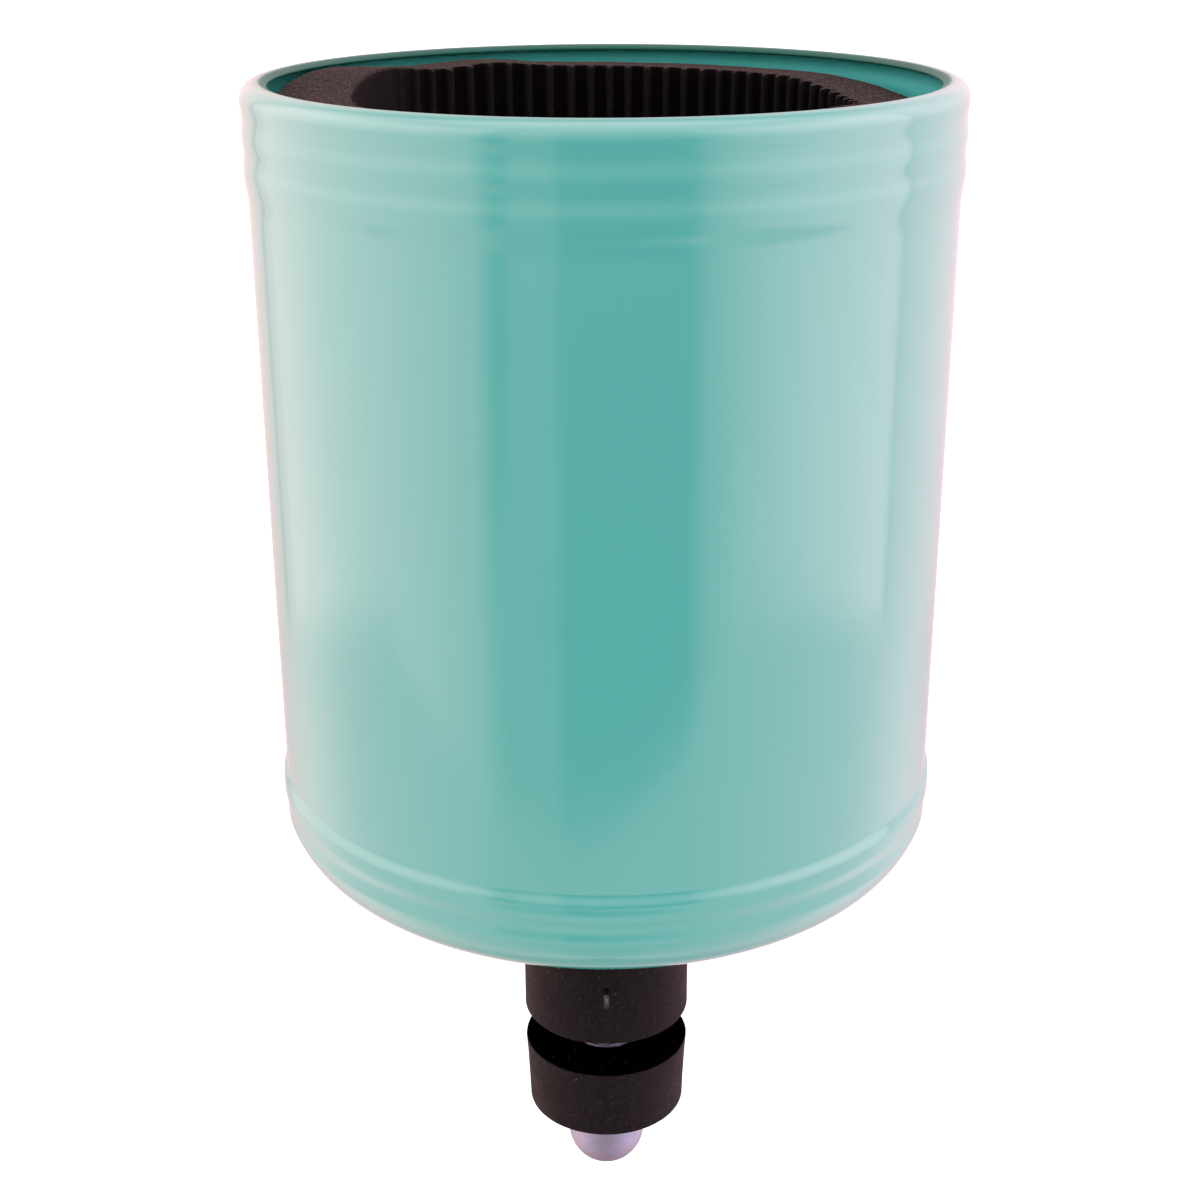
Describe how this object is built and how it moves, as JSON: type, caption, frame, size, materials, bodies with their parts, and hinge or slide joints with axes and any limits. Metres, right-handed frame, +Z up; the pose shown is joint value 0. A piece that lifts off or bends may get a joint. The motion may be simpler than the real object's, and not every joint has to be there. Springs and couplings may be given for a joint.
{
  "type": "bracket mounted can holder",
  "caption": "Round enamelled metal can holder with a ribbed foam liner, clamped to a flat bracket between two rubber pads by a bolt and a dome nut.",
  "frame": {"origin": "centre of the upper rubber pad's lower face, where the bracket lies", "axes": "+Z up along the bolt and the cup's axis; +X and +Y are free, because the object is round"},
  "size_m": [0.0952, 0.0952, 0.1709],
  "materials": {
    "enamel": "gloss",
    "foam": "matte",
    "pad_rubber": "matte",
    "zinc_steel": "satin",
    "nut_plate": "satin"
  },
  "bodies": {
    "bracket_clamp": {"upper_pad": "pad_rubber", "spacer_bush": "zinc_steel"},
    "cup": {"cup_shell": "enamel", "carriage_bolt": "zinc_steel", "floor_washer": "zinc_steel"},
    "liner": {"liner_sleeve": "foam", "liner_base": "foam"},
    "lower_clamp": {"lower_pad": "pad_rubber", "nut_washer": "zinc_steel"},
    "nut": {"dome_nut": "nut_plate"}
  },
  "joints": [
    {"name": "cup_swivel", "type": "hinge", "parent": "bracket_clamp", "child": "cup", "pos_m": [0, 0, 0], "axis": [0, 0, 1], "continuous": true},
    {"name": "liner_lift", "type": "slide", "parent": "cup", "child": "liner", "axis": [0, 0, 1], "range_m": [0, 0.115]},
    {"name": "clamp_travel", "type": "slide", "parent": "cup", "child": "lower_clamp", "axis": [0, 0, -1], "range_m": [-0.002, 0.005]},
    {"name": "nut_turn", "type": "hinge", "parent": "lower_clamp", "child": "nut", "pos_m": [0, 0, -0.0147], "axis": [0, 0, -1], "range_deg": [-576, 1440]}
  ],
  "couplings": [
    {"joint": "clamp_travel", "follows": "nut_turn", "m_per_rad": 0.00019894}
  ]
}
